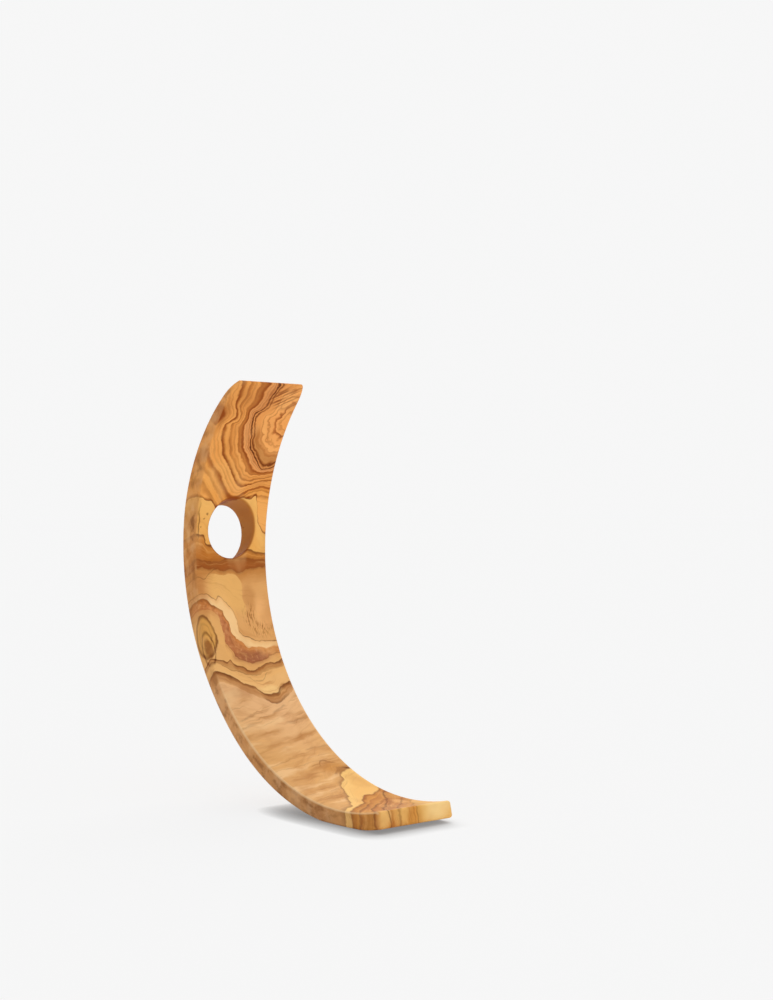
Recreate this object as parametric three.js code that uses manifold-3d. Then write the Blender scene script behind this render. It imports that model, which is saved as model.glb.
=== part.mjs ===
// A wine bottle stand: one crescent of solid olive wood with a slanted hole for a bottle's neck.
// Units are millimetres. +Z is up, +X points to the end of the foot and Y runs across the width.
// The origin is the middle of the part's box at ground level.

import * as THREE from 'three';
import Module from 'manifold-3d';

const wasm = await Module();
wasm.setup();

const degrees = THREE.MathUtils.degToRad;
const { lerp, smoothstep } = THREE.MathUtils;

// Driving dimensions. Angles are taken about the concave face's centre, from straight down, backwards and up.
const WIDTH = 51;                        // between the two side faces
const INNER_RADIUS = 132;                // concave front face
const FOOT_THICKNESS = 9;                // lower arm
const NECK_THICKNESS = 14;               // thickest place, beside the hole
const TIP_THICKNESS = 3.2;               // top edge
const FOOT_ANGLE = degrees(13.2);        // end of the foot, ahead of straight down
const TIP_ANGLE = degrees(135.2);        // top edge
const THICKENING_ANGLE = degrees(45);    // where the lower arm starts to thicken
const THICKEST_ABOVE_HOLE = degrees(4);  // from the hole's centre up to the thickest place
const SOLE_LENGTH = 33;                  // flat sanded under the foot
const EDGE_ROUNDING = 1.6;               // all long edges and both ends
const TIP_CORNER_RADIUS = 3.5;           // two corners of the top edge, seen from the front
const HOLE_DIAMETER = 32.5;
const HOLE_HEIGHT = 150;                 // hole's centre above the ground, halfway through the wood
const HOLE_RISE = degrees(18);           // hole's axis climbs towards the front
const RIM_ROUNDING = 1.5;                // both mouths of the hole

// How finely curves are stepped
const ARM_STEPS = 44;
const CORNER_STEPS = 4;
const HOLE_STEPS = 64;
const ROUNDING_TURNS = [15, 40, 65].map(degrees);
const RIM_TURNS = [0, 30, 60, 90].map(degrees);

// Thin stretches take less rounding, so that a flat always stays between two rounded edges.
const LARGEST_ROUNDING_SHARE = 0.35;
const CUTTER_OVERRUN = 4;

// Places worked out from the driving dimensions
const centreHeight = Math.sqrt((INNER_RADIUS + FOOT_THICKNESS) ** 2 - (SOLE_LENGTH / 2) ** 2);
const holeRadius = HOLE_DIAMETER / 2;
const holeArcRadius = INNER_RADIUS + NECK_THICKNESS / 2;
const holeAngle = Math.PI / 2 + Math.asin((HOLE_HEIGHT - centreHeight) / holeArcRadius);
const thickestAngle = holeAngle + THICKEST_ABOVE_HOLE;

// Wood between the concave and the convex face: even along the foot, fullest at the hole, thin at the tip.
function thickness(angle) {
  if (angle < thickestAngle) {
    return lerp(FOOT_THICKNESS, NECK_THICKNESS, smoothstep(angle, THICKENING_ANGLE, thickestAngle));
  }
  const fall = (angle - thickestAngle) / (TIP_ANGLE - thickestAngle);
  return lerp(NECK_THICKNESS, TIP_THICKNESS, fall ** 2);
}

function innerRadius() {
  return INNER_RADIUS;
}

function outerRadius(angle) {
  return INNER_RADIUS + thickness(angle);
}

function rounding(angle) {
  return Math.min(EDGE_ROUNDING, LARGEST_ROUNDING_SHARE * thickness(angle));
}

function onArc(angle, radius, across) {
  return new THREE.Vector3(-radius * Math.sin(angle), across, centreHeight - radius * Math.cos(angle));
}

// One slice across the arm: a rectangle with rounded corners, drawn in by inset and narrowed on both sides.
function slice({ angle, inset, narrowing }) {
  const corner = rounding(angle) - inset;
  const side = WIDTH / 2 - narrowing - inset - corner;
  const low = innerRadius() + inset + corner;
  const high = outerRadius(angle) - inset - corner;
  const corners = [[side, high], [-side, high], [-side, low], [side, low]];
  return corners.flatMap(([across, radius], quarter) => {
    const points = [];
    for (let step = 0; step <= CORNER_STEPS; step += 1) {
      const turn = (quarter + step / CORNER_STEPS) * Math.PI / 2;
      points.push(onArc(angle, radius + corner * Math.sin(turn), across + corner * Math.cos(turn)));
    }
    return points;
  });
}

// Slices that round off one end: they draw in towards it, and direction is +1 where the arm leads away.
function endSlices(endAngle, direction, narrowing) {
  const radius = rounding(endAngle);
  return ROUNDING_TURNS.map((turn) => ({
    angle: endAngle + direction * radius * (1 - Math.cos(turn)) / INNER_RADIUS,
    inset: radius * (1 - Math.sin(turn)),
    narrowing,
  }));
}

// Slices from the foot's end to the tip's, the last few narrowing round the two corners of the top edge.
function armSlices() {
  const first = -FOOT_ANGLE + rounding(-FOOT_ANGLE) / INNER_RADIUS;
  const last = TIP_ANGLE - rounding(TIP_ANGLE) / INNER_RADIUS;
  const cornerStart = Math.min(last, TIP_ANGLE - TIP_CORNER_RADIUS / INNER_RADIUS);
  const narrowingAt = (angle) => {
    const fromStart = Math.max(0, angle - cornerStart) * INNER_RADIUS;
    return TIP_CORNER_RADIUS - Math.sqrt(Math.max(0, TIP_CORNER_RADIUS ** 2 - fromStart ** 2));
  };
  const angles = [];
  for (let step = 0; step <= ARM_STEPS; step += 1) {
    angles.push(lerp(first, cornerStart, step / ARM_STEPS));
  }
  for (let step = 1; step <= CORNER_STEPS && last > cornerStart; step += 1) {
    angles.push(lerp(cornerStart, last, step / CORNER_STEPS));
  }
  const arm = angles.map((angle) => ({ angle, inset: 0, narrowing: narrowingAt(angle) }));
  return [
    ...endSlices(-FOOT_ANGLE, 1, 0),
    ...arm,
    ...endSlices(TIP_ANGLE, -1, narrowingAt(last)).reverse(),
  ];
}

// A closed skin through rings of equal length, each capped by a fan at its two ends.
function loft(rings) {
  const size = rings[0].length;
  const middleOf = (ring) => ring
    .reduce((sum, point) => sum.add(point), new THREE.Vector3())
    .divideScalar(size);
  const points = [...rings.flat(), middleOf(rings[0]), middleOf(rings.at(-1))];
  const firstMiddle = rings.length * size;
  const lastMiddle = firstMiddle + 1;
  const lastRing = (rings.length - 1) * size;
  const index = [];
  for (let here = 0; here < size; here += 1) {
    const next = (here + 1) % size;
    for (let start = 0; start < lastRing; start += size) {
      const ahead = start + size;
      index.push(start + here, start + next, ahead + next);
      index.push(start + here, ahead + next, ahead + here);
    }
    index.push(firstMiddle, next, here);
    index.push(lastMiddle, lastRing + here, lastRing + next);
  }
  const geometry = new THREE.BufferGeometry().setFromPoints(points);
  geometry.setIndex(index);
  return geometry;
}

const holeCentre = onArc(holeAngle, holeArcRadius, 0);
const holeAxis = new THREE.Vector3(Math.cos(HOLE_RISE), 0, Math.sin(HOLE_RISE));
const holeUp = new THREE.Vector3(-Math.sin(HOLE_RISE), 0, Math.cos(HOLE_RISE));
const holeSide = new THREE.Vector3(0, 1, 0);

function holePoint(turn, radius, along) {
  return holeCentre.clone()
    .addScaledVector(holeAxis, along)
    .addScaledVector(holeSide, radius * Math.cos(turn))
    .addScaledVector(holeUp, radius * Math.sin(turn));
}

// How far along the hole's axis a line at this turn and radius meets a face of the arm.
function alongToFace(turn, radius, faceRadius) {
  let along = 0;
  for (let pass = 0; pass < 12; pass += 1) {
    const point = holePoint(turn, radius, along);
    const drop = centreHeight - point.z;
    along += Math.hypot(point.x, drop) - faceRadius(Math.atan2(-point.x, drop));
  }
  return along;
}

// The hole's cutter: straight inside the wood, flared at both mouths by the rim's rounding.
function holeCutter() {
  const ring = (radius, faceRadius, depth) => {
    const points = [];
    for (let step = 0; step < HOLE_STEPS; step += 1) {
      const turn = 2 * Math.PI * step / HOLE_STEPS;
      points.push(holePoint(turn, radius, alongToFace(turn, radius, faceRadius) + depth));
    }
    return points;
  };
  const mouth = (faceRadius, inwards) => RIM_TURNS.map((turn) => ring(
    holeRadius + RIM_ROUNDING * (1 - Math.sin(turn)),
    faceRadius,
    inwards * RIM_ROUNDING * (1 - Math.cos(turn)),
  ));
  const flare = holeRadius + RIM_ROUNDING;
  return loft([
    ring(flare, outerRadius, -CUTTER_OVERRUN),
    ...mouth(outerRadius, 1),
    ...mouth(innerRadius, -1).reverse(),
    ring(flare, innerRadius, CUTTER_OVERRUN),
  ]);
}

function solidFrom(geometry) {
  const vertProperties = geometry.attributes.position.array;
  const triVerts = Uint32Array.from(geometry.index.array);
  return new wasm.Manifold(new wasm.Mesh({ numProp: 3, vertProperties, triVerts }));
}

function geometryFrom(solid) {
  const { vertProperties, triVerts } = solid.getMesh();
  const geometry = new THREE.BufferGeometry();
  geometry.setAttribute('position', new THREE.BufferAttribute(vertProperties, 3));
  geometry.setIndex(new THREE.BufferAttribute(triVerts, 1));
  geometry.computeVertexNormals();
  geometry.computeBoundingBox();
  return geometry;
}

// The stand: the arm, less its hole and less what lies below the ground, which leaves the flat sole.
function standBody() {
  const arm = solidFrom(loft(armSlices().map(slice)));
  const wood = arm.subtract(solidFrom(holeCutter())).trimByPlane([0, 0, 1], 0);
  const geometry = geometryFrom(wood);
  const { min, max } = geometry.boundingBox;
  geometry.translate(-(min.x + max.x) / 2, 0, 0);
  const oliveWood = new THREE.MeshStandardMaterial({ color: 0xc88b4a, roughness: 0.42, metalness: 0 });
  const mesh = new THREE.Mesh(geometry, oliveWood);
  mesh.name = 'stand_body';
  return mesh;
}

const bottleStand = new THREE.Group();
bottleStand.add(standBody());

export default bottleStand;
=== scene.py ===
# A wine bottle stand of olive wood, in metres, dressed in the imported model's own frame.

from collections import namedtuple
from math import asin, cos, pi, radians, sin, sqrt

import bpy
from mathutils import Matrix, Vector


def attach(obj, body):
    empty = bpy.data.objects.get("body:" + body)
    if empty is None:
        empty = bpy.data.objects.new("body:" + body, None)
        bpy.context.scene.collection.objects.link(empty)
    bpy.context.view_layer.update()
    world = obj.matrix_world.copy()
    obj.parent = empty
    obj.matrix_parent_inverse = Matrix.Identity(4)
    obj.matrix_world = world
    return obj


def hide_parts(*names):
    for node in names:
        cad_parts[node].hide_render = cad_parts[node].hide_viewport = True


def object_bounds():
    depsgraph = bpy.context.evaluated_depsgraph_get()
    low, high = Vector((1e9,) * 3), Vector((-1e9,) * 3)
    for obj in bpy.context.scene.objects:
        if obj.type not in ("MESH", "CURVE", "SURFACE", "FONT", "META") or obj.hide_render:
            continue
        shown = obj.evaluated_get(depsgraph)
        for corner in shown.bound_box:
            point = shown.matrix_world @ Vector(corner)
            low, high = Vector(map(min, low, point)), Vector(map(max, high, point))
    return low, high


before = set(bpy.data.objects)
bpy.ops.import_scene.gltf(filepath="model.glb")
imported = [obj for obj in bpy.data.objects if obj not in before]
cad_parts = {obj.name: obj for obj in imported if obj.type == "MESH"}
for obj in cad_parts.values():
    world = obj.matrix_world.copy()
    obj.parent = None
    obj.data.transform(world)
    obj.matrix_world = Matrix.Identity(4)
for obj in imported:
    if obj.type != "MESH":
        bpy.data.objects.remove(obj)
cad_box = [list(corner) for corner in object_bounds()]


# Stand body: shape
# One piece of olive wood, sawn from a plank to a crescent that is fullest beside its neck hole and
# thin at the top. It is sanded until every edge is softly round, and its hole is bored slantwise,
# climbing to the front.

MM = 0.001

WIDTH = 51 * MM
INNER_RADIUS = 132 * MM
FOOT_THICKNESS = 9 * MM
NECK_THICKNESS = 14 * MM
FOOT_ANGLE = radians(13.2)
TIP_ANGLE = radians(136)
THICKENING_ANGLE = radians(45)
THICKEST_ABOVE_HOLE = radians(4)
SOLE_LENGTH = 33 * MM
HOLE_HEIGHT = 150 * MM
HOLE_RISE = radians(18)
LARGEST_ROUNDING_SHARE = 0.35
SOLE_EDGE_SOFTNESS = 0.8 * MM
UPPER_ARM_FROM = 1.0
SKIN_STEP = 0.74 * MM
ROOM_AROUND = 3 * MM
DRAWING_ROUNDS = 2

centre_height = sqrt((INNER_RADIUS + FOOT_THICKNESS) ** 2 - (SOLE_LENGTH / 2) ** 2)
hole_arc_radius = INNER_RADIUS + NECK_THICKNESS / 2
hole_angle = pi / 2 + asin((HOLE_HEIGHT - centre_height) / hole_arc_radius)
thickest_angle = hole_angle + THICKEST_ABOVE_HOLE


def back_reach(angle):
    """How far the convex back stands behind the centre of the concave face, below the thickest place."""
    share = (angle - THICKENING_ANGLE) / (thickest_angle - THICKENING_ANGLE)
    swell = share * share * (3 - 2 * share)
    thickness = FOOT_THICKNESS + (NECK_THICKNESS - FOOT_THICKNESS) * swell
    return (INNER_RADIUS + thickness) * sin(angle)


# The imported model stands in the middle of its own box, so its back tells where the centre of the arc
# is. The back reaches furthest somewhere between these two turns, in degrees.
BACKMOST_FROM = 80
BACKMOST_TO = 100
TRIES_A_DEGREE = 10
tries = range(BACKMOST_FROM * TRIES_A_DEGREE, BACKMOST_TO * TRIES_A_DEGREE)
centre_ahead = cad_box[0][0] + max(back_reach(radians(step / TRIES_A_DEGREE)) for step in tries)

stand_sizes = {
    "Width": WIDTH,
    "Inner Radius": INNER_RADIUS,
    "Foot Thickness": FOOT_THICKNESS,
    "Neck Thickness": NECK_THICKNESS,
    "Tip Thickness": 2 * MM,
    "Tip Thinning": 1.7,
    "Foot Angle": FOOT_ANGLE,
    "Tip Angle": TIP_ANGLE,
    "Thickening Angle": THICKENING_ANGLE,
    "Thickest Angle": thickest_angle,
    "Edge Rounding": 1.6 * MM,
    "Foot Corner Radius": 2 * MM,
    "Tip Corner Radius": 0.6 * MM,
    "Tip Arc Radius": 28 * MM,
    "Tip Arc Length": 13 * MM,
    "Centre Ahead": centre_ahead,
    "Centre Height": centre_height,
    "Hole Ahead": centre_ahead - hole_arc_radius * sin(hole_angle),
    "Hole Height": HOLE_HEIGHT,
    "Hole Rise": HOLE_RISE,
    "Hole Radius": 16.25 * MM,
    "Rim Rounding": 1.5 * MM,
}


class Reading:
    """A number that a node tree works out at every point. Sums and products of readings add nodes."""

    def __init__(self, tree, socket):
        self.tree = tree
        self.socket = socket

    def math(self, operation, *others):
        return work_out(self.tree, operation, self, *others)

    def __add__(self, other):
        return self.math("ADD", other)

    def __radd__(self, other):
        return self.math("ADD", other)

    def __sub__(self, other):
        return self.math("SUBTRACT", other)

    def __rsub__(self, other):
        return work_out(self.tree, "SUBTRACT", other, self)

    def __mul__(self, other):
        return self.math("MULTIPLY", other)

    def __truediv__(self, other):
        return self.math("DIVIDE", other)

    def __abs__(self):
        return self.math("ABSOLUTE")

    def above(self, least):
        return self.math("MAXIMUM", least)

    def below(self, most):
        return self.math("MINIMUM", most)


def plug(tree, value, socket):
    """Links a reading or a socket to an input, or sets the input to a plain value."""
    if isinstance(value, Reading):
        tree.links.new(value.socket, socket)
    elif isinstance(value, bpy.types.NodeSocket):
        tree.links.new(value, socket)
    else:
        socket.default_value = value


def work_out(tree, operation, *values):
    node = tree.nodes.new("ShaderNodeMath")
    node.operation = operation
    for value, socket in zip(values, node.inputs):
        plug(tree, value, socket)
    return Reading(tree, node.outputs[0])


def split(tree, vector):
    node = tree.nodes.new("ShaderNodeSeparateXYZ")
    plug(tree, vector, node.inputs[0])
    return [Reading(tree, socket) for socket in node.outputs]


def length(first, second):
    return (first * first + second * second).math("SQRT")


def ease(reading, start, end, low=0.0, high=1.0):
    """Goes smoothly from low to high while the reading goes from start to end.

    A smooth step keeps within its ends by itself. A clamp on each would overfill the wood's shader.
    """
    node = reading.tree.nodes.new("ShaderNodeMapRange")
    node.interpolation_type = "SMOOTHSTEP"
    node.clamp = False
    for value, socket in zip((reading, start, end, low, high), node.inputs):
        plug(reading.tree, value, socket)
    return Reading(reading.tree, node.outputs[0])


def rounded_meet(first, second, radius):
    """Distance to the edge where two faces meet, with the edge rounded off to a radius."""
    inside = first.math("MAXIMUM", second).below(radius * -1)
    return inside + length((first + radius).above(0), (second + radius).above(0))


def crescent_tree():
    """Nodes for the sanded skin: its distance from every point, and a mesh that is drawn onto it."""
    tree = bpy.data.node_groups.new("Crescent With Neck Hole", "GeometryNodeTree")
    tree.interface.new_socket("Geometry", in_out="INPUT", socket_type="NodeSocketGeometry")
    tree.interface.new_socket("Geometry", in_out="OUTPUT", socket_type="NodeSocketGeometry")
    for name in stand_sizes:
        tree.interface.new_socket(name, in_out="INPUT", socket_type="NodeSocketFloat")
    tree.interface.new_socket("Skin Material", in_out="INPUT", socket_type="NodeSocketMaterial")
    given = tree.nodes.new("NodeGroupInput")
    size = {name: Reading(tree, given.outputs[name]) for name in stand_sizes}

    x, y, z = split(tree, tree.nodes.new("GeometryNodeInputPosition").outputs[0])
    ahead = x - size["Centre Ahead"]
    under = size["Centre Height"] - z
    reach = length(ahead, under)
    turn = (ahead * -1).math("ARCTAN2", under)

    swell = ease(turn, size["Thickening Angle"], size["Thickest Angle"])
    fall = ((turn - size["Thickest Angle"]) / (size["Tip Angle"] - size["Thickest Angle"])).above(0)
    thickness = (
        size["Foot Thickness"]
        + (size["Neck Thickness"] - size["Foot Thickness"]) * swell
        - (size["Neck Thickness"] - size["Tip Thickness"]) * fall.math("POWER", size["Tip Thinning"])
    )
    to_faces = abs(reach - size["Inner Radius"] - thickness * 0.5) - thickness * 0.5
    past_tip = (turn - size["Tip Angle"]) * size["Inner Radius"]
    along_arc = (past_tip + size["Tip Arc Length"]).above(0)
    arc_left = (size["Tip Arc Radius"] * size["Tip Arc Radius"] - along_arc * along_arc).math("SQRT")
    to_sides = abs(y) - size["Width"] * 0.5 + size["Tip Arc Radius"] - arc_left
    past_foot = (turn + size["Foot Angle"]) * size["Inner Radius"] * -1
    to_ends = past_tip.math("MAXIMUM", past_foot)
    on_upper_arm = turn.math("GREATER_THAN", UPPER_ARM_FROM)
    corner_gain = size["Tip Corner Radius"] - size["Foot Corner Radius"]
    corner = size["Foot Corner Radius"] + corner_gain * on_upper_arm
    outline = rounded_meet(to_sides, to_ends, corner)
    edge = size["Edge Rounding"].math("MINIMUM", thickness * LARGEST_ROUNDING_SHARE)
    arm = rounded_meet(outline, to_faces, edge)
    footed = arm.math("SMOOTH_MAX", z * -1, SOLE_EDGE_SOFTNESS)

    from_hole_ahead = x - size["Hole Ahead"]
    from_hole_up = z - size["Hole Height"]
    rise = size["Hole Rise"]
    climb = from_hole_up * rise.math("COSINE") - from_hole_ahead * rise.math("SINE")
    in_hole = size["Hole Radius"] - length(y, climb)
    skin = rounded_meet(footed, in_hole, size["Rim Rounding"])

    block = tree.nodes.new("GeometryNodeVolumeCube")
    plug(tree, skin * -1, block.inputs["Density"])
    low = [corner - ROOM_AROUND for corner in cad_box[0]]
    high = [corner + ROOM_AROUND for corner in cad_box[1]]
    block.inputs["Background"].default_value = -1
    block.inputs["Min"].default_value = low
    block.inputs["Max"].default_value = high
    for axis, start, end in zip("XYZ", low, high):
        block.inputs[f"Resolution {axis}"].default_value = round((end - start) / SKIN_STEP)
    mesh = tree.nodes.new("GeometryNodeVolumeToMesh")
    tree.links.new(block.outputs["Volume"], mesh.inputs["Volume"])
    mesh.inputs["Threshold"].default_value = 0
    made = mesh.outputs["Mesh"]

    outwards = tree.nodes.new("GeometryNodeInputNormal").outputs["Normal"]
    pull = tree.nodes.new("ShaderNodeVectorMath")
    pull.operation = "SCALE"
    plug(tree, outwards, pull.inputs[0])
    plug(tree, skin * -1, pull.inputs["Scale"])
    for _ in range(DRAWING_ROUNDS):
        drawn = tree.nodes.new("GeometryNodeSetPosition")
        tree.links.new(made, drawn.inputs["Geometry"])
        tree.links.new(pull.outputs[0], drawn.inputs["Offset"])
        made = drawn.outputs["Geometry"]

    for kind in ("GeometryNodeSetShadeSmooth", "GeometryNodeRealizeInstances", "GeometryNodeSetMaterial"):
        node = tree.nodes.new(kind)
        tree.links.new(made, node.inputs["Geometry"])
        made = node.outputs["Geometry"]
    tree.links.new(given.outputs["Skin Material"], node.inputs["Material"])
    tree.links.new(made, tree.nodes.new("NodeGroupOutput").inputs["Geometry"])
    return tree


# Stand body: wood
# Seasoned olive wood, oiled and hand rubbed to a satin sheen. Its growth layers are warm gold with
# thin dark brown lines. They turn in loops at the top, bend round a knot at the near edge and run
# slantwise along the foot.

def tone(code):
    """A colour as it is seen on a screen, made linear for the shader."""
    parts = [int(code[start:start + 2], 16) / 255 for start in (1, 3, 5)]
    return [part / 12.92 if part < 0.04045 else ((part + 0.055) / 1.055) ** 2.4 for part in parts] + [1.0]


olive_wood = bpy.data.materials.new("olive_wood")
olive_wood.use_nodes = True
plank = olive_wood.node_tree


def relief(across, along, depth, detail=2.0, roughness=0.5):
    """Soft random ups and downs between about -1 and 1, a hump to each unit of the three readings."""
    spot = plank.nodes.new("ShaderNodeCombineXYZ")
    for value, socket in zip((across, along, depth), spot.inputs):
        plug(plank, value, socket)
    node = plank.nodes.new("ShaderNodeTexNoise")
    plank.links.new(spot.outputs[0], node.inputs["Vector"])
    node.inputs["Scale"].default_value = 1.0
    node.inputs["Detail"].default_value = detail
    node.inputs["Roughness"].default_value = roughness
    return Reading(plank, node.outputs["Fac"]) * 2 - 1


def mix_tones(share, first, second):
    """The first tone where the share is 0, and the second where it is 1."""
    node = plank.nodes.new("ShaderNodeMix")
    node.data_type = "RGBA"
    for name, value in (("Factor_Float", share), ("A_Color", first), ("B_Color", second)):
        socket = next(socket for socket in node.inputs if socket.identifier == name)
        plug(plank, value, socket)
    return next(socket for socket in node.outputs if socket.identifier == "Result_Color")


def tone_scale(reading, stops):
    """A run of tones along a reading that goes from 0 to 1."""
    node = plank.nodes.new("ShaderNodeValToRGB")
    plug(plank, reading, node.inputs[0])
    ramp = node.color_ramp
    while len(ramp.elements) < len(stops):
        ramp.elements.new(1.0)
    for element, (place, code) in zip(ramp.elements, stops):
        element.position = place
        element.color = tone(code)
    return node.outputs["Color"]


def curve_through(reading, points):
    """A smooth curve through points between 0 and 1."""
    node = plank.nodes.new("ShaderNodeFloatCurve")
    plug(plank, reading, node.inputs["Value"])
    curve = node.mapping.curves[0]
    curve.points[0].location = points[0]
    curve.points[-1].location = points[-1]
    for place, height in points[1:-1]:
        curve.points.new(place, height)
    node.mapping.update()
    return Reading(plank, node.outputs["Value"])


def seam(reading, place, before, after):
    """1 at a place along a reading, falling to 0 over the distance before it and the distance after it."""
    offset = reading - place
    return ease(offset, -before, 0.0) * ease(offset, 0.0, after, 1.0, 0.0)


# Where a point of the wood lies, in millimetres: across from the near side, along the concave face from
# straight under its centre up to the top edge, and deep below that face.
place_in_wood = plank.nodes.new("ShaderNodeTexCoord").outputs["Object"]
x, y, z = [reading / MM for reading in split(plank, place_in_wood)]
ahead = x - centre_ahead / MM
under = centre_height / MM - z
across_face = y
along_face = (ahead * -1).math("ARCTAN2", under) * (INNER_RADIUS / MM)
deep = length(ahead, under) - INNER_RADIUS / MM


def wander(hump, shift):
    """How far a layer strays from its place, with a hump every so many millimetres."""
    return relief(across_face / hump + shift, along_face / hump, deep / hump)


def layer_relief(layer, run, detail, roughness):
    """Ups and downs from layer to layer, a hump to each unit, drawn out over a run in millimetres."""
    node = plank.nodes.new("ShaderNodeTexNoise")
    node.noise_dimensions = "4D"
    plank.links.new(place_in_wood, node.inputs["Vector"])
    plug(plank, layer * (run * MM), node.inputs["W"])
    node.inputs["Scale"].default_value = 1 / (run * MM)
    node.inputs["Detail"].default_value = detail
    node.inputs["Roughness"].default_value = roughness
    return Reading(plank, node.outputs["Fac"]) * 2 - 1


# Growth layers lean with depth and wander a little everywhere.
LEAN_ALONG = 0.35
LEAN_ACROSS = 0.25
SHIFT_ACROSS = 0
SHIFT_ALONG = 7
HUMPS_AND_REACHES = ((20, 2.0), (7, 1.6), (2.5, 0.5))
across = across_face + deep * LEAN_ACROSS
for hump, reach in HUMPS_AND_REACHES:
    across = across + wander(hump, SHIFT_ACROSS) * reach
along = along_face + deep * LEAN_ALONG
for hump, reach in HUMPS_AND_REACHES:
    along = along + wander(hump, SHIFT_ALONG) * reach

PATCH_DEPTH = 12.0


def far_out(middle, half_sizes, depth=PATCH_DEPTH):
    """How far a point lies out of an egg-shaped place: 0 in its middle, 1 on its border."""
    offsets = [(reading - at) / half for reading, at, half in zip((across, along), middle, half_sizes)]
    sunk = deep / depth
    return (offsets[0] * offsets[0] + offsets[1] * offsets[1] + sunk * sunk).math("SQRT")


def within(distance, soft):
    """1 inside an egg-shaped place and 0 outside it, over a soft border."""
    return ease(distance, 1.0 + soft, 1.0 - soft)


def patch(middle, half_sizes, soft):
    """A shallow egg-shaped place just under the concave face, as a mask with a soft border."""
    return within(far_out(middle, half_sizes), soft)


# Loops at the top, round a centre near the far edge. Two of them are given by their distance from it,
# on the way round from straight up through the near side to straight down, and the others keep step.
LOOP_CENTRE = (25.0, 286.0)
LOOP_SPAN = 80.0
OUTER_SPACING = 20.0
OUTER_TURN = (0.75, 0.55)
LOOP_HUMP = 9
LOOP_SHIFT = 21
LOOP_STRAY = 0.05
CORE_BORDER = (0.85, 0.55)
CORE_HUMP = 5
CORE_SHIFT = 33
CORE_STRAY = 0.12
LOOP_PLAINNESS = 1.15
dark_loop = [
    (0, 38), (34, 33), (43, 28.5), (55, 25.2), (64, 23.6), (71, 25), (77, 27.5), (86, 27.2), (94, 26.3),
    (104, 25.5), (114, 25.3), (122, 26.3), (130, 27.2), (145, 28.4), (152, 29.2), (157, 30.3), (163, 30.7),
    (170, 29.3), (180, 27.7)]
wide_loop = [
    (0, 78), (45, 60), (59, 53), (65, 48.7), (71, 46.3), (76, 43.9), (80, 41.3), (85, 39.5), (88, 39.9),
    (91.5, 41.7), (95, 44.6), (100, 44.4), (110, 44.2), (120, 44.7), (129, 43.8), (140, 44.9), (149, 46.6),
    (154, 45.4), (158, 42.7), (161, 40.4), (168, 38.3), (180, 37.2)]
Loop = namedtuple("Loop", "place strength inside outside")
loops = [
    Loop(0.20, 0.4, 0.03, 0.04), Loop(0.34, 0.7, 0.03, 0.08), Loop(0.52, 0.45, 0.03, 0.05),
    Loop(0.68, 0.4, 0.03, 0.04), Loop(0.93, 0.75, 0.04, 0.03),
    Loop(1.0, 1.0, 0.03, 0.06), Loop(1.09, 0.45, 0.04, 0.05), Loop(1.17, 0.3, 0.04, 0.05),
    Loop(1.28, 0.8, 0.05, 0.14), Loop(1.46, 0.55, 0.14, 0.05), Loop(1.60, 0.3, 0.06, 0.05),
    Loop(1.76, 0.55, 0.12, 0.05), Loop(2.0, 0.85, 0.14, 0.05), Loop(2.14, 0.25, 0.05, 0.06),
    Loop(2.28, 0.3, 0.08, 0.05), Loop(2.48, 0.7, 0.10, 0.20), Loop(2.8, 0.4, 0.14, 0.08),
    Loop(3.1, 0.45, 0.08, 0.25)]
from_far = LOOP_CENTRE[0] - across
from_below = along - LOOP_CENTRE[1]
loop_turn = abs(from_far.math("ARCTAN2", from_below)) / pi
loop_reach = length(from_far, from_below)
dark_reach, wide_reach = [
    curve_through(loop_turn, [(angle / 180, reach / LOOP_SPAN) for angle, reach in loop]) * LOOP_SPAN
    for loop in (dark_loop, wide_loop)]
inside_place = (loop_reach / dark_reach).below(1.0)
spacing = wide_reach - dark_reach
between_place = ((loop_reach - dark_reach) / spacing).above(0.0).below(1.0)
outer_spacing = spacing.math("MAXIMUM", ease(loop_turn, *OUTER_TURN, 0.0, OUTER_SPACING))
outside_place = between_place + ((loop_reach - wide_reach) / outer_spacing).above(0.0)
in_core = ease(inside_place, *CORE_BORDER)
loop_place = inside_place + outside_place + wander(LOOP_HUMP, LOOP_SHIFT) * LOOP_STRAY
loop_place = loop_place + wander(CORE_HUMP, CORE_SHIFT) * in_core * CORE_STRAY
loop_dark = 0.0
for loop in loops:
    loop_dark = seam(loop_place, loop.place, loop.inside, loop.outside) * loop.strength + loop_dark
LAST_LOOP = 3.6
figure = tone_scale(loop_place / LAST_LOOP, [(place / LAST_LOOP, code) for place, code in (
    (0.0, "#F9A95B"), (0.30, "#FCAF61"), (0.36, "#E48F49"), (0.42, "#FBAE61"), (0.66, "#FEB365"),
    (0.74, "#F2A65B"), (0.92, "#EC9D54"), (1.03, "#E59754"), (1.18, "#F1A764"), (1.25, "#EE9F57"),
    (1.30, "#C87733"), (1.44, "#E69648"), (1.50, "#F4A656"), (1.72, "#EC9D4D"), (1.79, "#F9AC5A"),
    (1.95, "#E49646"), (2.04, "#F8AC5A"), (2.38, "#F5A755"), (2.48, "#CA752E"), (2.66, "#E89945"),
    (3.0, "#F5A953"), (3.6, "#FBB25F"))])

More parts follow.
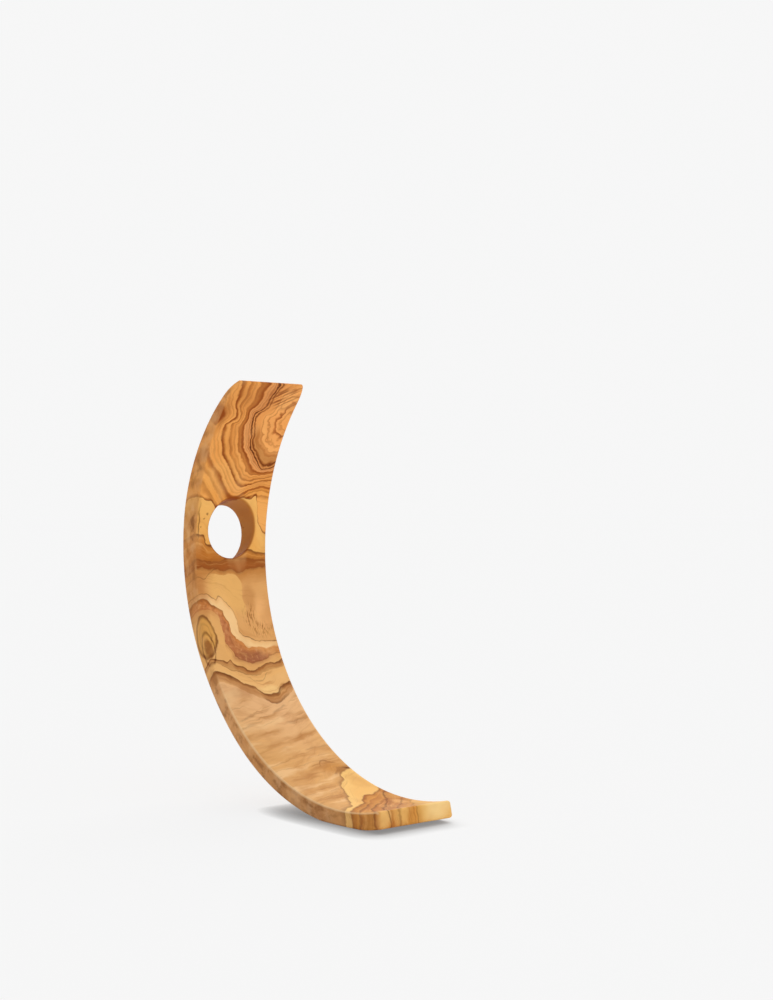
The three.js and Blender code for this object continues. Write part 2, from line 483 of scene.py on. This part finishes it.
# Growth lines below the loops, from the neck hole down to the foot. Each crosses the face from the
# near side to the far side through the given places. The layer under it goes from one tone to another
# over a usual thickness. The line itself has a strength, fades over one distance above it and another
# below it, and shows between two places across. The last number is how plainly fine lines show in the
# layer.
GrowthLine = namedtuple("GrowthLine", "places layer upper_tone lower_tone strength above below shows fine")
WHOLE = (-40, 40)
growth_lines = [
    GrowthLine(  # ragged line beside the hole
        [(-26, 238.5), (-23, 237.7), (-21.3, 236.3), (-17.4, 236), (-15.7, 234), (-14.4, 232.1),
         (-12, 231.5), (0, 236), (11, 237), (16.5, 236.5), (17.5, 229), (19.5, 222), (26, 217)],
        22, "#F9BE6A", "#F2B15C", 0.8, 2.2, 0.6, WHOLE, 0.2),
    GrowthLine(  # foot of the pale patch
        [(-26, 217.3), (-22.6, 216.5), (-20, 215.5), (-18.7, 213.3), (-17.4, 211), (-15.7, 210),
         (-13, 210.6), (0, 209), (12, 207), (18, 206), (26, 204)],
        9, "#CF8539", "#BE722C", 0.85, 0.5, 2.4, WHOLE, 0.6),
    GrowthLine(  # brown band under the hole
        [(-26, 201.5), (-10, 201), (0, 202), (10, 202), (26, 200)],
        5, "#9C5620", "#A85D26", 0.2, 2.0, 2.0, WHOLE, 0.5),
    GrowthLine(
        [(-26, 196.8), (-19, 196.6), (-12, 196.3), (-7, 195.3), (0, 195.5), (4, 194.6), (11, 195.8),
         (26, 196)],
        12, "#C98745", "#E6AA68", 0.35, 2.2, 1.6, WHOLE, 0.4),
    GrowthLine(  # thin winding line
        [(-26, 181.5), (-20.6, 181.4), (-18, 180.4), (-15.7, 178.9), (-13.5, 177.5), (-12.5, 178.3),
         (-11.2, 179.9), (-10.2, 179.7), (-8.6, 177.3), (-6, 174), (-4, 171.8), (-3, 169.2),
         (-2.1, 165.6), (-1.4, 162.3), (-0.8, 159.6), (0.5, 157.7), (2.8, 155.7), (5.7, 154.8),
         (8.7, 153.1), (15.2, 151.8), (26, 151.5)],
        4, "#F2BC7C", "#FFD294", 0.7, 0.5, 0.8, WHOLE, 0.35),
    GrowthLine(  # broad brown band
        [(-26, 178.3), (-22.9, 178.6), (-20, 177.3), (-16.4, 174.7), (-13.1, 172.8), (-10.2, 170.1),
         (-8.6, 166.9), (-7.3, 163.3), (-6.2, 158.5), (-3.4, 154.8), (-1.4, 153.1), (0.5, 151.2),
         (2.2, 148.6), (5.4, 148.3), (15.2, 147.4), (26, 147.4)],
        7, "#D88C4C", "#C47A4C", 0.6, 0.4, 2.2, (-40, -6), 0.5),
    GrowthLine(
        [(-26, 172.5), (-20, 172), (-15.7, 170.5), (-13.8, 167.9), (-12.5, 164), (-12.8, 156.7),
         (-12.5, 153.5), (-10.9, 150.5), (-8.3, 144.7), (-6.3, 142.4), (-4.7, 140.5), (-1.4, 139.2),
         (2.2, 138.5), (5.4, 139.2), (13.5, 140.5), (16.8, 142.1), (26, 143.3)],
        6, "#E4A866", "#ECB26C", 0.35, 1.2, 0.4, (-10, 40), 0.4),
    GrowthLine(
        [(-26, 144), (-20, 142), (-16.7, 140.8), (-14.1, 139.8), (-12.8, 141.4), (-11.5, 140.8),
         (-10.5, 138.8), (-8.6, 136.9), (-6, 135.9), (-2.7, 134.6), (2.2, 133.9), (3.8, 134.6),
         (7, 135.9), (10.3, 136.9), (18.4, 137.9), (26, 139.4)],
        4, "#BE8048", "#D29A5C", 0.8, 0.4, 1.6, WHOLE, 0.7),
    GrowthLine(
        [(-26, 141), (-22, 140.3), (-19, 138.2), (-15.7, 136), (-12.5, 134), (-8.6, 133.3), (-3.7, 131.8),
         (3, 130.5), (10, 133), (18, 134), (26, 136)],
        7, "#F0B872", "#F4BE7A", 0.4, 0.8, 0.4, (-40, 2), 0.7),
    GrowthLine(
        [(-26, 136.2), (-22.2, 134.6), (-19, 132.3), (-14.8, 130.7), (-10.9, 127.8), (-7.6, 125.5),
         (-4.4, 123.9), (-1.1, 122.8), (0.2, 120.5), (2.8, 118.2), (6, 116.9), (9.6, 116.9),
         (12.9, 118.2), (15.2, 120.8), (17.8, 122.8), (26, 124)],
        9, "#B67842", "#DDA66E", 0.8, 0.6, 2.8, WHOLE, 0.7),
    GrowthLine(  # pale straw stretch
        [(-26, 129), (-15, 124), (-8, 119), (-3, 115.5), (2.8, 112.7), (4.8, 111), (8.7, 110.2),
         (12, 111.2), (15.2, 113.4), (18, 115.3), (26, 119)],
        60, "#EFBC86", "#DFA869", 0.6, 2.4, 0.8, (3, 17), 0.3),
    GrowthLine(  # slantwise lines of the foot
        [(-26, -4.2), (-22.2, -0.9), (-19, 1.5), (-13.1, 3.9), (-11.2, 6.5), (-9.9, 9.8), (-7.9, 13.1),
         (-6, 17.4), (-1.7, 22.3), (0.5, 25.8), (2.2, 29.1), (3.8, 33.6), (6.1, 37.2), (9, 39.8),
         (11.3, 42.5), (14, 48), (20, 51), (26, 52.5)],
        14, "#FBCB7C", "#F6C070", 0.5, 5.0, 1.0, WHOLE, 0.4),
    GrowthLine(
        [(-26, -9.5), (-22.2, -5.8), (-19, -2.9), (-16.4, -1.3), (-12.5, 1), (-8, 3), (-4, 6.5), (0, 12.2),
         (2.2, 14.1), (5.4, 17), (10.3, 19), (12.9, 18), (16.8, 20.6), (20.7, 23.9), (26, 28.5)],
        7, "#C88034", "#DA9844", 0.5, 1.2, 3.0, WHOLE, 0.7),
    GrowthLine(
        [(-26, -16.8), (-22.2, -11.3), (-17.4, -7.8), (-12.5, -4.5), (-6, 0), (0, 6), (6, 11.5), (12, 13.5),
         (20, 20.5), (26, 25)],
        6, "#C47C36", "#D99646", 0.5, 1.4, 2.4, (-40, -4), 0.8),
    GrowthLine(
        [(-26, -28), (-22.2, -23.4), (-19, -19.5), (-16.4, -15.2), (-14.1, -11.7), (-11.2, -8.4),
         (-8.6, -7.1), (0, 0), (8, 6.5), (14, 10.5), (20, 18), (26, 22.8)],
        6, "#BA7230", "#CE863C", 0.55, 1.2, 2.4, (-40, 0), 0.8),
    GrowthLine(
        [(-26, -42), (-16.7, -28.9), (-14.1, -22.7), (-10.9, -18.2), (-7.9, -14.3), (-5.3, -11.3),
         (-2.7, -9.7), (0.5, -7.4), (3.8, -3.9), (5.7, -1.3), (8.7, 2.6), (11.3, 5.6), (14.5, 9),
         (18.4, 14.8), (20, 17), (22.3, 20), (26, 21.5)],
        8, "#B67032", "#C6803C", 0.7, 2.4, 1.0, WHOLE, 0.8),
    GrowthLine(
        [(-26, -52), (-10.9, -28.9), (-6, -22.1), (0.5, -16.2), (5.4, -12.3), (12, -6), (18, 1), (26, 10)],
        9, "#BE7838", "#D89646", 0.45, 1.4, 2.2, WHOLE, 0.8),
    GrowthLine(
        [(-26, -60), (0, -32), (8, -20), (14, -14), (19, -6), (26, 0)],
        12, "#DCA252", "#ECB662", 0.4, 1.5, 1.5, WHOLE, 0.7),
]
PATCH_LINE, THIN_LINE, BAND_LINE, STRAW_LINE, FOOT_LINE = 0, 4, 5, 10, 11
HALF_SPAN = 27.0
LOWEST = -70.0
SPAN_ALONG = 330.0
LINE_FADE = 4
CRISP = 0.3
LOOP_FINE = 0.45

share_across = (across + HALF_SPAN) / (2 * HALF_SPAN)


def height_through(places):
    """How far up the face a line runs through the given places, from the near side to the far side."""
    points = [((u + HALF_SPAN) / (2 * HALF_SPAN), (v - LOWEST) / SPAN_ALONG) for u, v in places]
    return curve_through(share_across, points) * SPAN_ALONG + LOWEST


heights = [height_through(line.places) for line in growth_lines]

# Each layer is laid over all that lies below its line, from the top down, so that the next one covers
# the rest.
in_loops = ease(along - heights[PATCH_LINE], -CRISP, CRISP)
dark = loop_dark * in_loops * LOOP_PLAINNESS
fine_plain = LOOP_FINE
for line, height in zip(growth_lines, heights):
    sunk = height - along
    under_line = ease(sunk, -CRISP, CRISP)
    layer_tone = mix_tones(ease(sunk, 0.0, line.layer), tone(line.upper_tone), tone(line.lower_tone))
    figure = mix_tones(under_line, figure, layer_tone)
    start, end = line.shows
    shown = ease(across, start - LINE_FADE, start) * ease(across, end + LINE_FADE, end)
    dark = seam(along, height, line.below, line.above) * shown * line.strength + dark
    fine_plain = under_line * (line.fine - fine_plain) + fine_plain

layers_passed = 0.0
for line, height, next_height in zip(growth_lines, heights, heights[1:]):
    passed = (height - along) / (height - next_height)
    passed.socket.node.use_clamp = True
    layers_passed = passed * line.layer + layers_passed

# Ragged border of the pale patch, just inside the near edge
PATCH_LEVEL = 224.0
PATCH_EDGE = -23.4
patch_height = seam(along, PATCH_LEVEL, 18.0, 16.0)
patch_border = seam(across, PATCH_EDGE, 1.4, 0.5) * patch_height * ease(deep, 3.0, 1.0)
dark = patch_border * 0.9 + dark

# Cloudy places where the tone drifts within a layer, and a cream painted highlight on the foot's end face
Cloud = namedtuple("Cloud", "middle half_sizes soft colour share")
clouds_and_painted_highlight = [
    Cloud((-12, 302), (17, 10), 0.6, "#B56A2E", 0.2),
    Cloud((-12, 252), (13, 8), 0.6, "#FBBB6A", 0.5),
    Cloud((-23.5, 289.5), (2.8, 7.5), 0.8, "#8A4116", 0.65),
    Cloud((10.5, 178), (4, 9), 0.5, "#C98A4E", 0.55),
    Cloud((19, 169), (6, 9), 0.5, "#FCBE7C", 0.6),
    Cloud((4, 142), (11, 3.5), 0.5, "#9E6044", 0.7),
    Cloud((23, 145), (5, 3.5), 0.5, "#D99656", 0.7),
    Cloud((8, 120.5), (8, 3), 0.5, "#FFD28C", 0.8),
    Cloud((-9, 120), (9, 3.5), 0.6, "#B77A48", 0.5),
    Cloud((15, 55), (9, 5), 0.5, "#CB8A40", 0.7),
    Cloud((21, 12), (6, 6), 0.5, "#D99A4C", 0.6),
    Cloud((15.5, -1), (3.5, 6), 0.5, "#F4BA70", 0.6),
    # cream patch on the end face of the foot: a painted highlight
    Cloud((16, -31), (9, 6), 0.5, "#FFDA96", 0.8),
    Cloud((-9, -31), (5, 6), 0.5, "#F8C470", 0.7),
    Cloud((-20, -31), (4, 6), 0.5, "#FBCB7C", 0.7),
    Cloud((-24, 180), (5, 12), 0.6, "#B0662A", 0.45),
]
for cloud in clouds_and_painted_highlight:
    in_cloud_or_highlight = patch(cloud.middle, cloud.half_sizes, cloud.soft)
    figure = mix_tones(in_cloud_or_highlight * cloud.share, figure, tone(cloud.colour))

# Brown inside the lower part of the dark loop
BROWN_FROM = (0.64, 0.80)
BROWN_TO = (1.0, 0.93)
BROWN_TURN = (0.50, 0.66)
in_ring = ease(loop_place, *BROWN_FROM) * ease(loop_place, *BROWN_TO)
in_brown = in_ring * ease(loop_turn, *BROWN_TURN) * in_loops
figure = mix_tones(in_brown * 0.8, figure, tone("#B06A30"))

# Pale gold eye under the hole, with a crisp round border on its far side
EYE_MIDDLE = (-10.0, 177.0)
EYE_STRAIGHT = 9.5
EYE_BORDER = (7.4, 6.4)
EYE_FADE_ACROSS = (-22.0, -12.0)
EYE_FADE_ALONG = (164.0, 174.0)
eye_across = (abs(across - EYE_MIDDLE[0]) - EYE_STRAIGHT).above(0.0)
eye_along = (abs(along - EYE_MIDDLE[1]) - EYE_STRAIGHT).above(0.0)
in_eye = (
    ease(length(eye_across, eye_along), *EYE_BORDER)
    * ease(across, *EYE_FADE_ACROSS)
    * ease(along, *EYE_FADE_ALONG)
    * ease(along - heights[THIN_LINE], 0.0, 0.5))
figure = mix_tones(in_eye * 0.9, figure, tone("#F0B86C"))

# Knot at the near edge: gold heart with a brown spot, inside a thick dark ring
KNOT_MIDDLE = (-26.0, 157.0)
KNOT_HALF_SIZES = (8.2, 12.0)
KNOT_DEPTH = 9.0
HEART_MIDDLE = (-24.5, 149.5)
HEART_HALF_SIZES = (2.2, 5.5)
HEART_DEPTH = 3.0
knot_out = far_out(KNOT_MIDDLE, KNOT_HALF_SIZES, KNOT_DEPTH)
in_knot = within(knot_out, 0.05)
heart_out = far_out(HEART_MIDDLE, HEART_HALF_SIZES, HEART_DEPTH)
in_heart = within(heart_out, 0.3)
figure = mix_tones(in_knot, figure, tone("#DDA254"))
figure = mix_tones(in_heart * 0.8, figure, tone("#8A4A1C"))
dark = dark * (1 - in_knot) + seam(knot_out, 1.0, 0.2, 0.12) * 0.8
dark = dark + seam(knot_out, 0.62, 0.08, 0.12) * 0.25
dark = seam(heart_out, 1.7, 0.35, 0.35) * 0.7 + dark

# Stray lines that start and end within a layer, each by its places, strength and fading above and below
StrayLine = namedtuple("StrayLine", "places strength above below")
stray_lines = [
    StrayLine([(-25, 192), (-19, 191), (-17.7, 192.6), (-14.4, 195.2), (-12, 196.5)], 0.5, 0.5, 0.8),
    StrayLine([(-3.4, 130.4), (-0.8, 127.8), (3.8, 127.4), (7.4, 128.7), (10, 132)], 0.4, 0.4, 0.9),
    StrayLine([(7.3, 58.8), (9.6, 62), (12.2, 62.4), (17.8, 59.8)], 0.5, 1.0, 1.6),
    StrayLine([(9.6, 48), (16.8, 53.9), (24.6, 52.6)], 0.45, 1.5, 2.5),
    StrayLine([(-23, 101), (-11, 104.5)], 0.3, 1.2, 1.6), StrayLine([(2, 104), (13, 108.5)], 0.3, 1.2, 1.6),
    StrayLine([(-25, 95), (-14, 97)], 0.3, 1.2, 1.6), StrayLine([(8, 96), (22, 98.7)], 0.35, 1.2, 1.6),
    StrayLine([(7, 74), (25, 76)], 0.3, 1.2, 1.6)]
STRAY_FADE = 1.5
for line in stray_lines:
    start, start_height = line.places[0]
    end, end_height = line.places[-1]
    height = height_through([(-HALF_SPAN, start_height), *line.places, (HALF_SPAN, end_height)])
    starts = ease(across, start - STRAY_FADE, start + STRAY_FADE)
    shown = starts * ease(across, end + STRAY_FADE, end - STRAY_FADE)
    dark = seam(along, height, line.below, line.above) * shown * line.strength + dark

# Pin knots in the pale patch
pin_knots = (((-18.7, 228.5), 0.8), ((-20.5, 225.6), 0.5), ((-22.0, 221.0), 0.4))
for middle, size in pin_knots:
    dark = patch(middle, (size, size), 0.5) * 0.8 + dark

# Short dashes: along the face beside the eye, across it inside the loops
FLECK_WIDTH = 0.9
FLECK_LENGTH = 5
fleck_places = (((9.0, 167.0), (4.5, 6.5)), ((17.5, 159.0), (7.5, 4.5)))
flecks = relief(
    across_face / FLECK_WIDTH, along_face / FLECK_LENGTH, deep / FLECK_LENGTH, roughness=0.6)
for middle, half_sizes in fleck_places:
    in_flecks = patch(middle, half_sizes, 0.5)
    figure = mix_tones(ease(flecks, -0.05, 0.25) * in_flecks * 0.8, figure, tone("#A0622F"))
DASH_RISE = 0.67
DASH_LENGTH = 14
DASH_WIDTH = 2.6
DASH_DEPTH = 5
DASHES_MIDDLE = (14.0, 304.0)
DASHES_HALF_SIZES = (10.0, 8.0)
over_dash = along_face - across_face * DASH_RISE
dashes = relief(across_face / DASH_LENGTH, over_dash / DASH_WIDTH, deep / DASH_DEPTH, roughness=0.6)
in_dashes = patch(DASHES_MIDDLE, DASHES_HALF_SIZES, 0.5)
figure = mix_tones(ease(dashes, -0.15, 0.25) * in_dashes * 0.85, figure, tone("#8A4216"))

# Mottles in the broad brown band
MOTTLE_WIDTH = 2.2
MOTTLE_LENGTH = 2.6
MOTTLE_DEPTH = 3
mottles = relief(across_face / MOTTLE_WIDTH, along_face / MOTTLE_LENGTH, deep / MOTTLE_DEPTH)
in_band = ease(heights[BAND_LINE] - along, 0.0, 1.0) * ease(along - heights[BAND_LINE + 1], 0.0, 1.0)
figure = mix_tones(ease(mottles, 0.05, 0.4) * in_band * 0.6, figure, tone("#DDA067"))
figure = mix_tones(ease(mottles, -0.05, -0.4) * in_band * 0.6, figure, tone("#9C5C34"))

# Fine lines between the main ones keep to the same layers and are longer than they are wide. Each
# fades and darkens on its way.
FINE_IN_A_LOOP = 12
FINE_SPACING = 1.5
FINE_RUN = 30
UNEVEN_HUMP = 11
UNEVEN_BAND = (-0.5, 0.2)
loop_fine = layer_relief(loop_place * FINE_IN_A_LOOP, FINE_RUN, 3.0, 0.65)
layer_fine = layer_relief(layers_passed / FINE_SPACING, FINE_RUN, 3.0, 0.65)
fine_lines = layer_fine + (loop_fine - layer_fine) * in_loops
figure = mix_tones(ease(fine_lines, 0.04, 0.40) * fine_plain * 0.7, figure, tone("#B06426"))
figure = mix_tones(ease(fine_lines, -0.04, -0.40) * fine_plain * 0.55, figure, tone("#FFC272"))
unevenness = relief(across_face / UNEVEN_HUMP, along_face / UNEVEN_HUMP, deep / UNEVEN_HUMP)
dark = (dark * ease(unevenness, *UNEVEN_BAND, 0.6, 1.0)).below(1.0)
figure = mix_tones(dark, figure, mix_tones(in_loops, tone("#663012"), tone("#904412")))
darkest = seam(loop_place, 1.0, 0.03, 0.04) + seam(loop_place, 0.93, 0.04, 0.03) * 0.5
figure = mix_tones(darkest * in_loops * ease(unevenness, *UNEVEN_BAND, 0.4, 0.8), figure, tone("#43200D"))

# Soft brownish streaks of the pale stretch, rising a little to the far side
STRAW_FADE = 5.0
STREAK_RISE = 0.2
STREAK_SPACING = 6.5
STREAK_RUN = 34
THREAD_SPACING = 1.6
THREAD_RUN = 26
DRIFT_WIDTH = 17
DRIFT_LENGTH = 26
under_straw = ease(heights[STRAW_LINE] - along, 0.0, STRAW_FADE)
in_straw = under_straw * ease(along - heights[FOOT_LINE], 0.0, STRAW_FADE)
rise = along - across * STREAK_RISE
streaks = layer_relief(rise / STREAK_SPACING, STREAK_RUN, 2.5, 0.5)
figure = mix_tones(ease(streaks, 0.0, 0.4) * in_straw * 0.8, figure, tone("#BE8248"))
figure = mix_tones(ease(streaks, -0.02, -0.35) * in_straw * 0.7, figure, tone("#F7CB94"))
threads = layer_relief(rise / THREAD_SPACING, THREAD_RUN, 2.0, 0.5)
figure = mix_tones(ease(threads, 0.15, 0.5) * in_straw * 0.5, figure, tone("#A86E3C"))
drift = relief(across_face / DRIFT_WIDTH, along_face / DRIFT_LENGTH, deep / DRIFT_WIDTH)
figure = mix_tones(ease(drift, 0.0, 0.5) * 0.3, figure, tone("#F6C07C"))
figure = mix_tones(ease(drift, 0.0, -0.5) * 0.3, figure, tone("#B57238"))

# Side faces, sawn with the plank, are darker than the figured face: partly their own tone and partly
# painted shade, darker towards the foot and paler at the top. The figure shows through round the knot
# and near the end of the foot. Along the edges beside them, lower down, runs a pale painted highlight.
SIDE_BAND = (24.4, 25.2)
FOOT_BAND = (-8.0, 14.0)
SIDE_DARKENING_BAND = (100.0, 150.0)
LOWER_TONES = (20.0, 90.0)
TOP_TONES = (265.0, 285.0)
BLOTCH_LENGTH = 9
BLOTCH_DEPTH = 6
BLOTCH_WIDTH = 30
BLOTCH_RISE = 0.32
AROUND_KNOT_HALF_SIZES = (14.0, 24.0)
around_knot = patch(KNOT_MIDDLE, AROUND_KNOT_HALF_SIZES, 0.3)
on_side = ease(abs(y), *SIDE_BAND)
side_darkening = ease(along, *SIDE_DARKENING_BAND, 0.6, 0.45) + patch_height * 0.4
side_grain_and_shade = on_side * side_darkening * (1 - around_knot * 0.7)
side_grain_and_shade = side_grain_and_shade * ease(along_face, *FOOT_BAND, 0.25, 1.0)
side_tone_and_shade = mix_tones(ease(along, *LOWER_TONES), tone("#A87048"), tone("#C6864E"))
side_tone_and_shade = mix_tones(ease(along, *TOP_TONES), side_tone_and_shade, tone("#E2A468"))
# The side tone is mixed in here: partly the sawn faces' own tone, partly painted shade.
figure = mix_tones(side_grain_and_shade, figure, side_tone_and_shade)
blotches = relief(along_face / BLOTCH_LENGTH, deep / BLOTCH_DEPTH, y / BLOTCH_WIDTH, 3.0, 0.6)
figure = mix_tones(ease(blotches, 0.0, BLOTCH_RISE) * side_grain_and_shade, figure, tone("#8A5426"))
figure = mix_tones(ease(blotches, 0.0, -BLOTCH_RISE) * side_grain_and_shade * 0.8, figure, tone("#E6B076"))
# Painted highlight: a pale line along both edges of the concave face, fading out higher up.
EDGE_INNER_BAND = (23.7, 24.7)
EDGE_OUTER_BAND = (25.45, 25.0)
EDGE_DEPTH_BAND = (2.0, 0.6)
EDGE_HIGHLIGHT_FADE = (140.0, 100.0)
painted_edge_highlight = ease(abs(y), *EDGE_INNER_BAND) * ease(abs(y), *EDGE_OUTER_BAND) * ease(deep, *EDGE_DEPTH_BAND)
figure = mix_tones(painted_edge_highlight * ease(along, *EDGE_HIGHLIGHT_FADE, 0.0, 0.5), figure, tone("#F7D2A0"))

# Wall of the neck hole, bored across the grain: darker, partly for its end grain and partly painted shade
from_hole_ahead = x - stand_sizes["Hole Ahead"] / MM
from_hole_up = z - HOLE_HEIGHT / MM
climb = from_hole_up * cos(HOLE_RISE) - from_hole_ahead * sin(HOLE_RISE)
WALL_BAND = (17.4, 16.4)
wall_grain_and_shade = ease(length(y, climb), *WALL_BAND)
figure = mix_tones(wall_grain_and_shade * 0.7, figure, tone("#96480F"))

GLOSS = 0.05
skin = plank.nodes["Principled BSDF"]
plank.links.new(figure, skin.inputs["Base Color"])
skin.inputs["Specular IOR Level"].default_value = GLOSS

# Pores and sanding show as a very fine unevenness, and dark wood is a little duller.
PORE_WIDTH = 0.5
PORE_LENGTH = 3.0
PORE_HEIGHT = 0.1 * MM
PORE_STRENGTH = 0.25
SATIN = 0.44
DULLER_BY_PORES = 0.08
DULLER_BY_DARK = 0.06
pores = relief(
    across_face / PORE_WIDTH, along_face / PORE_LENGTH, deep / PORE_WIDTH, roughness=0.6)
sheen = SATIN + pores * DULLER_BY_PORES + dark * DULLER_BY_DARK
plank.links.new(sheen.socket, skin.inputs["Roughness"])
grain = plank.nodes.new("ShaderNodeBump")
grain.inputs["Strength"].default_value = PORE_STRENGTH
grain.inputs["Distance"].default_value = PORE_HEIGHT
plank.links.new(pores.socket, grain.inputs["Height"])
plank.links.new(grain.outputs["Normal"], skin.inputs["Normal"])

carrier = bpy.data.objects.new("olive_stand", bpy.data.meshes.new("olive_stand"))
bpy.context.scene.collection.objects.link(carrier)
sanding = carrier.modifiers.new("Crescent", "NODES")
sanding.node_group = crescent_tree()
for item in sanding.node_group.interface.items_tree:
    if item.in_out == "INPUT" and item.name in stand_sizes:
        sanding[item.identifier] = stand_sizes[item.name]
    if item.in_out == "INPUT" and item.name == "Skin Material":
        sanding[item.identifier] = olive_wood
finished = carrier.evaluated_get(bpy.context.evaluated_depsgraph_get())
body_mesh = bpy.data.meshes.new_from_object(finished)
carrier.modifiers.clear()
carrier.data = body_mesh
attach(carrier, "root")
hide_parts("stand_body")


# Table and backdrop
# A wide pale sheet of paper that the stand is set down on. It runs on out of sight, where it meets a
# backdrop of the same pale tone. Seen directly it is mostly an even tone, with a soft contact shade that
# leans to the near side, and for the rest paper under the studio's light.

PAPER = 0.905
BACKDROP = 0.927
SHADE_REACH = 0.015
SHADE_FALL = 2.5
DEEPEST_SHADE = 0.3
SHADE_LEAN = radians(40)
EVEN_SHARE = 0.85
TABLE_REACH = 30.0

paper_mesh = bpy.data.meshes.new("table")
paper_mesh.from_pydata(
    [(-TABLE_REACH, -TABLE_REACH, 0), (TABLE_REACH, -TABLE_REACH, 0), (TABLE_REACH, TABLE_REACH, 0),
     (-TABLE_REACH, TABLE_REACH, 0)], [], [(0, 1, 2, 3)])
table = bpy.data.objects.new("table", paper_mesh)
bpy.context.scene.collection.objects.link(table)
paper = bpy.data.materials.new("pale_paper")
paper.use_nodes = True
sheet_skin = paper.node_tree.nodes["Principled BSDF"]
sheet_skin.inputs["Base Color"].default_value = (PAPER, PAPER, PAPER, 1)
sheet_skin.inputs["Roughness"].default_value = 1.0
sheet_skin.inputs["Specular IOR Level"].default_value = 0.0
sheet = paper.node_tree
shade = sheet.nodes.new("ShaderNodeAmbientOcclusion")
shade.inputs["Distance"].default_value = SHADE_REACH
facing = sheet.nodes.new("ShaderNodeCombineXYZ")
facing.inputs["Y"].default_value = sin(SHADE_LEAN)
facing.inputs["Z"].default_value = cos(SHADE_LEAN)
sheet.links.new(facing.outputs["Vector"], shade.inputs["Normal"])
even = sheet.nodes.new("ShaderNodeEmission")
openness = Reading(sheet, shade.outputs["AO"]).math("POWER", SHADE_FALL)
brightness = (openness * (1 - DEEPEST_SHADE) + DEEPEST_SHADE) * BACKDROP
sheet.links.new(brightness.socket, even.inputs["Strength"])
shown = sheet.nodes.new("ShaderNodeMixShader")
seen_directly = Reading(sheet, sheet.nodes.new("ShaderNodeLightPath").outputs["Is Camera Ray"])
sheet.links.new((seen_directly * EVEN_SHARE).socket, shown.inputs["Fac"])
sheet.links.new(sheet_skin.outputs["BSDF"], shown.inputs[1])
sheet.links.new(even.outputs["Emission"], shown.inputs[2])
sheet.links.new(shown.outputs["Shader"], sheet.nodes["Material Output"].inputs["Surface"])
table.data.materials.append(paper)


# Studio light
# A pale room that is brighter ahead of the stand than behind it, and one wide soft lamp high behind
# the stand on its far side. Seen directly or mirrored, the room shows the backdrop's even tone.

LAMP_STRENGTH = 1.4
LAMP_SPREAD = radians(40)
LAMP_FROM_OVERHEAD = radians(42)
LAMP_TURN = radians(225)
ROOM_LIGHT = 0.62
BRIGHTER_TOWARDS = (0.35, 0.0, 0.10)

room = bpy.data.worlds.new("studio")
bpy.context.scene.world = room
room.use_nodes = True
air = room.node_tree
light = air.nodes["Background"]
light.inputs["Color"].default_value = (1, 1, 1, 1)
path = air.nodes.new("ShaderNodeLightPath").outputs
seen = Reading(air, path["Is Camera Ray"])
for kind in ("Is Glossy Ray", "Is Transmission Ray"):
    seen = seen.math("MAXIMUM", path[kind])
lean = air.nodes.new("ShaderNodeVectorMath")
lean.operation = "DOT_PRODUCT"
air.links.new(air.nodes.new("ShaderNodeTexCoord").outputs["Generated"], lean.inputs[0])
lean.inputs[1].default_value = BRIGHTER_TOWARDS
glow = Reading(air, lean.outputs["Value"]) + ROOM_LIGHT
air.links.new((seen * (BACKDROP - glow) + glow).socket, light.inputs["Strength"])

key_data = bpy.data.lights.new("key", "SUN")
key_data.energy = LAMP_STRENGTH
key_data.angle = LAMP_SPREAD
key = bpy.data.objects.new("key", key_data)
key.rotation_euler = (LAMP_FROM_OVERHEAD, 0, LAMP_TURN)
key.visible_glossy = False
bpy.context.scene.collection.objects.link(key)


# Camera
# As fitted to the photograph: nearly level with the neck hole, ahead of the stand and off its near side.

LONG_SIDE = 1000.0
FOCAL_PIXELS = 1599.0
SENSOR_WIDTH = 36.0
VIEW_AHEAD = 0.64108
VIEW_ASIDE = -0.54797
VIEW_HEIGHT = 0.16279
VIEW_TILT = radians(90.38)
VIEW_TURN = radians(49.133)
view_data = bpy.data.cameras.new("camera")
view_data.sensor_width = SENSOR_WIDTH
view_data.lens = FOCAL_PIXELS / LONG_SIDE * SENSOR_WIDTH
view = bpy.data.objects.new("camera", view_data)
view.location = (centre_ahead + VIEW_AHEAD, VIEW_ASIDE, VIEW_HEIGHT)
view.rotation_euler = (VIEW_TILT, 0, VIEW_TURN)
bpy.context.scene.collection.objects.link(view)
bpy.context.scene.camera = view

bpy.context.scene.view_settings.view_transform = "Standard"
